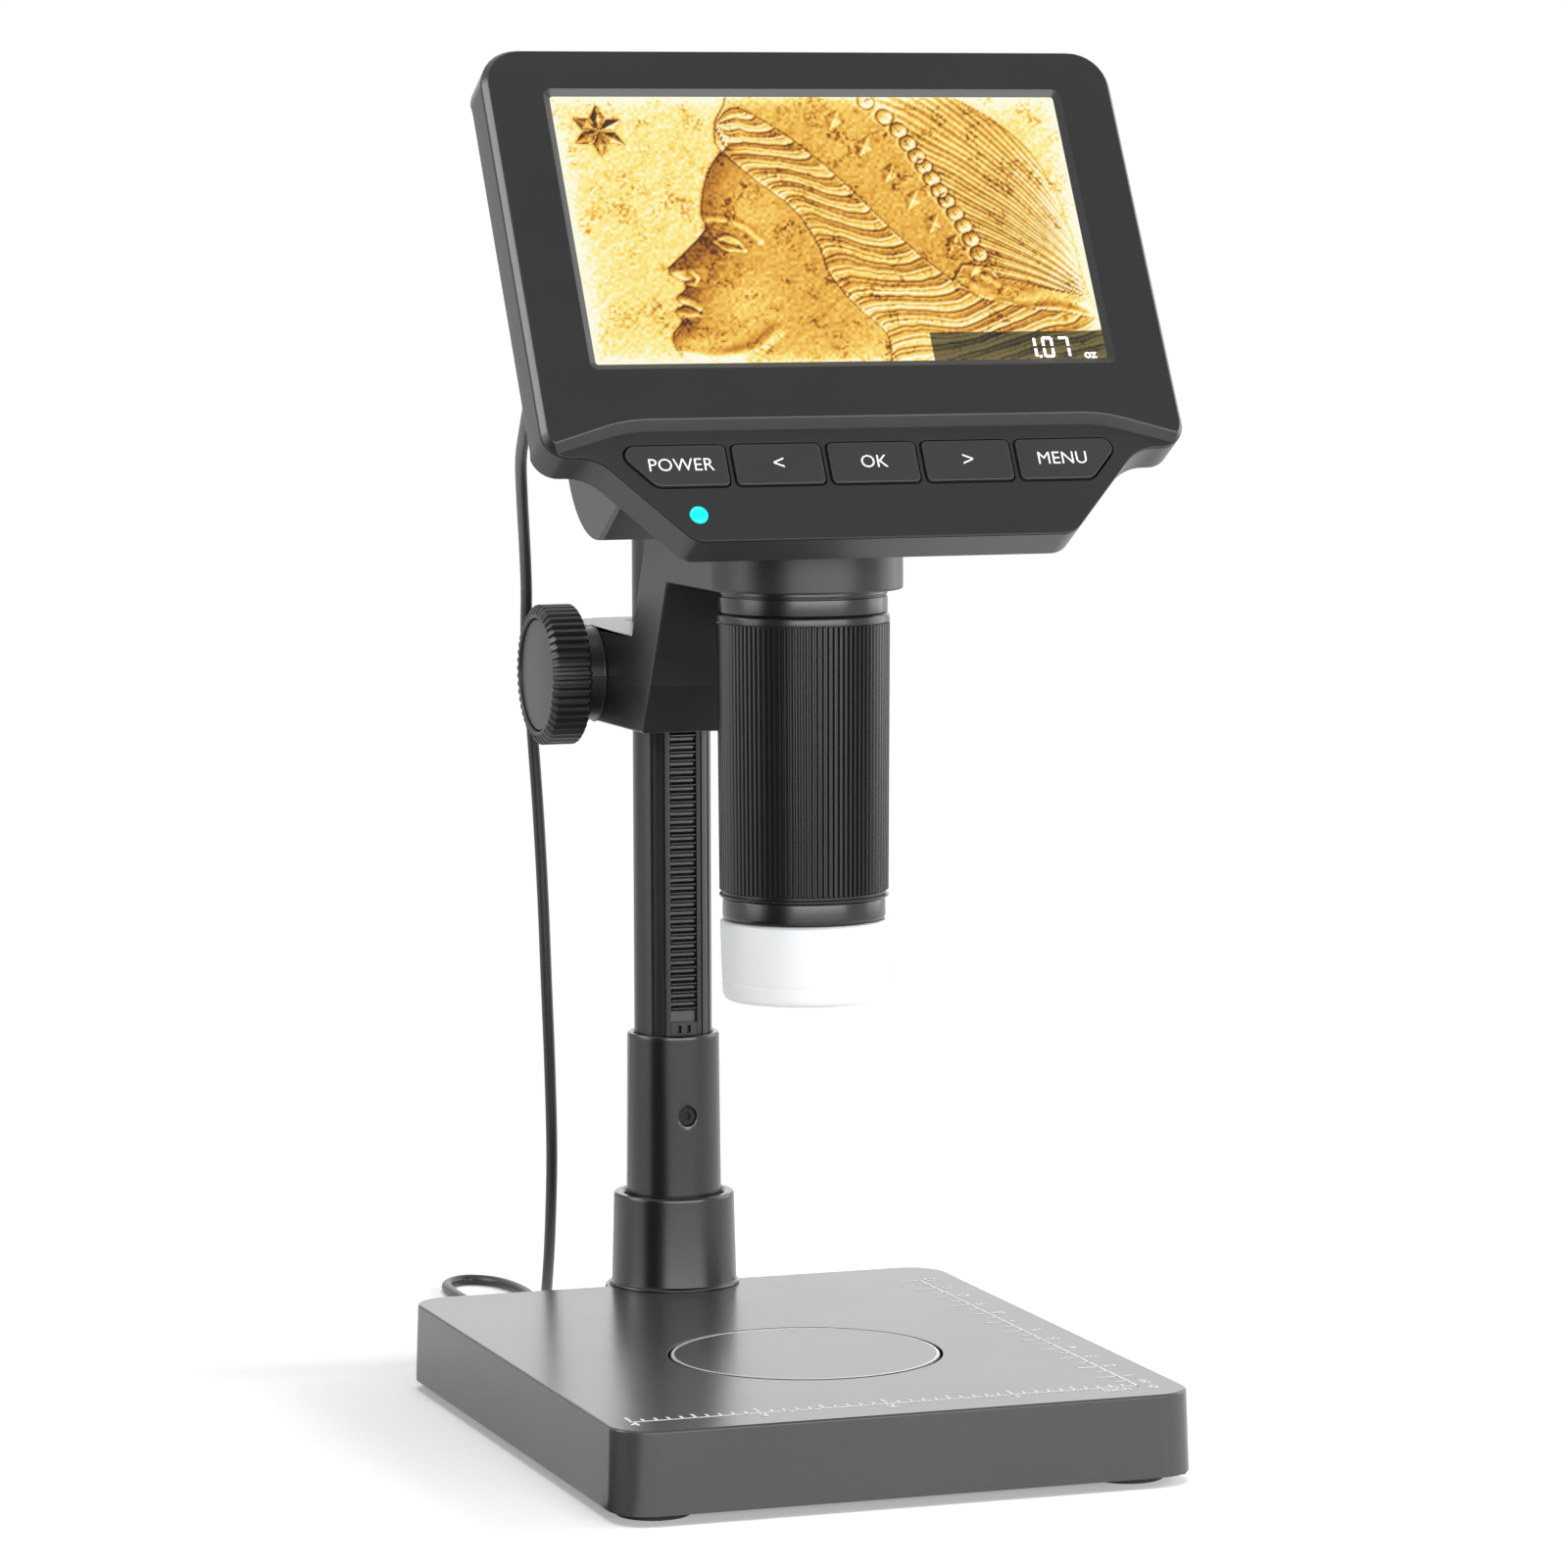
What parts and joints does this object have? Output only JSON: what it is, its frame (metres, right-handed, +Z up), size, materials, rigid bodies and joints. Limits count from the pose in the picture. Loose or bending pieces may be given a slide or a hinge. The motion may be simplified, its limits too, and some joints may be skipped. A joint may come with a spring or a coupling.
{
  "type": "digital microscope",
  "caption": "Stand microscope: a tilting screen head above a focusing barrel, on an arm that a knob moves up and down a toothed column, over a weighing stage.",
  "frame": {"origin": "on the surface that the feet stand on, under the middle of the outer box without the cord", "axes": "+X is the user's right, +Y points to the back, +Z is up along the column"},
  "size_m": [0.1284, 0.2532, 0.2728],
  "materials": {
    "base_plastic": "satin",
    "dark_plastic": "matte",
    "knob_plastic": "matte",
    "column_metal": "dark anodised",
    "rack_metal": "black",
    "steel": "machined",
    "cast_metal": "plain",
    "bronze": "plain",
    "white_plastic": "satin",
    "frosted_plastic": "frosted",
    "rubber": "matte",
    "lens_glass": "clear",
    "window_glass": "gloss",
    "circuit_board": "matte",
    "cell_wrap": "gloss",
    "lamp_plastic": "gloss",
    "indicator_plastic": "lit"
  },
  "bodies": {
    "base": {"base_housing": "base_plastic", "base_bottom_plate": "base_plastic", "ballast_plate": "cast_metal", "rubber_feet": "rubber", "base_screws": "steel", "load_cell": "steel", "base_circuit_board": "circuit_board", "base_data_socket": "steel", "column_socket": "dark_plastic", "column_sleeve": "dark_plastic", "sleeve_set_screw": "steel", "column_tube": "column_metal", "rack": "rack_metal", "rack_end_stop": "rack_metal", "column_cap": "dark_plastic", "cord_lead": "rubber", "cord_plug_base": "rubber"},
    "stage": {"weighing_stage": "base_plastic"},
    "carriage": {"carriage_housing": "dark_plastic", "carriage_lower_shell": "dark_plastic", "carriage_screws": "steel", "guide_bushes": "white_plastic", "shaft_bushes": "bronze", "barrel_housing": "dark_plastic", "hinge_bracket": "steel", "bracket_screws": "steel", "hinge_pins": "steel", "hinge_washers": "bronze", "image_sensor_board": "circuit_board", "rear_lens": "lens_glass", "lower_barrel_ring": "dark_plastic", "led_ring_board": "white_plastic", "ring_leds": "lamp_plastic", "light_hood": "frosted_plastic"},
    "knobs": {"pinion_shaft": "steel", "left_knob": "knob_plastic", "right_knob": "knob_plastic", "knob_caps": "knob_plastic"},
    "focus": {"focus_sleeve": "dark_plastic"},
    "lens": {"lens_cell": "dark_plastic", "objective_lens": "lens_glass"},
    "head": {"front_bezel": "dark_plastic", "rear_cover": "dark_plastic", "display_panel": "white_plastic", "display_window": "window_glass", "main_board": "circuit_board", "battery_cells": "cell_wrap", "button_board": "circuit_board", "head_screws": "steel", "indicator_lens": "indicator_plastic", "head_data_socket": "steel", "cord_plug_head": "rubber"},
    "power": {"power_button": "dark_plastic"},
    "left": {"left_button": "dark_plastic"},
    "ok": {"ok_button": "dark_plastic"},
    "right": {"right_button": "dark_plastic"},
    "menu": {"menu_button": "dark_plastic"}
  },
  "joints": [
    {"name": "carriage_slide", "type": "slide", "parent": "base", "child": "carriage", "axis": [0, 0, 1], "range_m": [-0.064, 0.075], "deforming": ["cord_lead"]},
    {"name": "knob_spin", "type": "hinge", "parent": "carriage", "child": "knobs", "pos_m": [0, 0.05425, 0.14765], "axis": [1, 0, 0], "range_deg": [-980, 840]},
    {"name": "focus_spin", "type": "hinge", "parent": "carriage", "child": "focus", "pos_m": [0, -0.01785, 0.136], "axis": [0, 0, 1], "range_deg": [-150, 150]},
    {"name": "lens_slide", "type": "slide", "parent": "carriage", "child": "lens", "axis": [0, 0, 1], "range_m": [-0.003, 0.003]},
    {"name": "screen_tilt", "type": "hinge", "parent": "carriage", "child": "head", "pos_m": [0, -0.03425, 0.2013], "axis": [1, 0, 0], "range_deg": [-30, 30], "deforming": ["cord_lead"]},
    {"name": "stage_press", "type": "slide", "parent": "base", "child": "stage", "axis": [0, 0, 1], "range_m": [-0.0004, 0], "stiffness_N_per_m": 4000},
    {"name": "power_press", "type": "slide", "parent": "head", "child": "power", "axis": [0, 0.866, -0.5], "range_m": [0, 0.0005], "stiffness_N_per_m": 1500},
    {"name": "left_press", "type": "slide", "parent": "head", "child": "left", "axis": [0, 0.866, -0.5], "range_m": [0, 0.0005], "stiffness_N_per_m": 1500},
    {"name": "ok_press", "type": "slide", "parent": "head", "child": "ok", "axis": [0, 0.866, -0.5], "range_m": [0, 0.0005], "stiffness_N_per_m": 1500},
    {"name": "right_press", "type": "slide", "parent": "head", "child": "right", "axis": [0, 0.866, -0.5], "range_m": [0, 0.0005], "stiffness_N_per_m": 1500},
    {"name": "menu_press", "type": "slide", "parent": "head", "child": "menu", "axis": [0, 0.866, -0.5], "range_m": [0, 0.0005], "stiffness_N_per_m": 1500}
  ],
  "couplings": [
    {"joint": "knob_spin", "follows": "carriage_slide", "rad_per_m": -227.27},
    {"joint": "lens_slide", "follows": "focus_spin", "m_per_rad": 0.0011459}
  ]
}
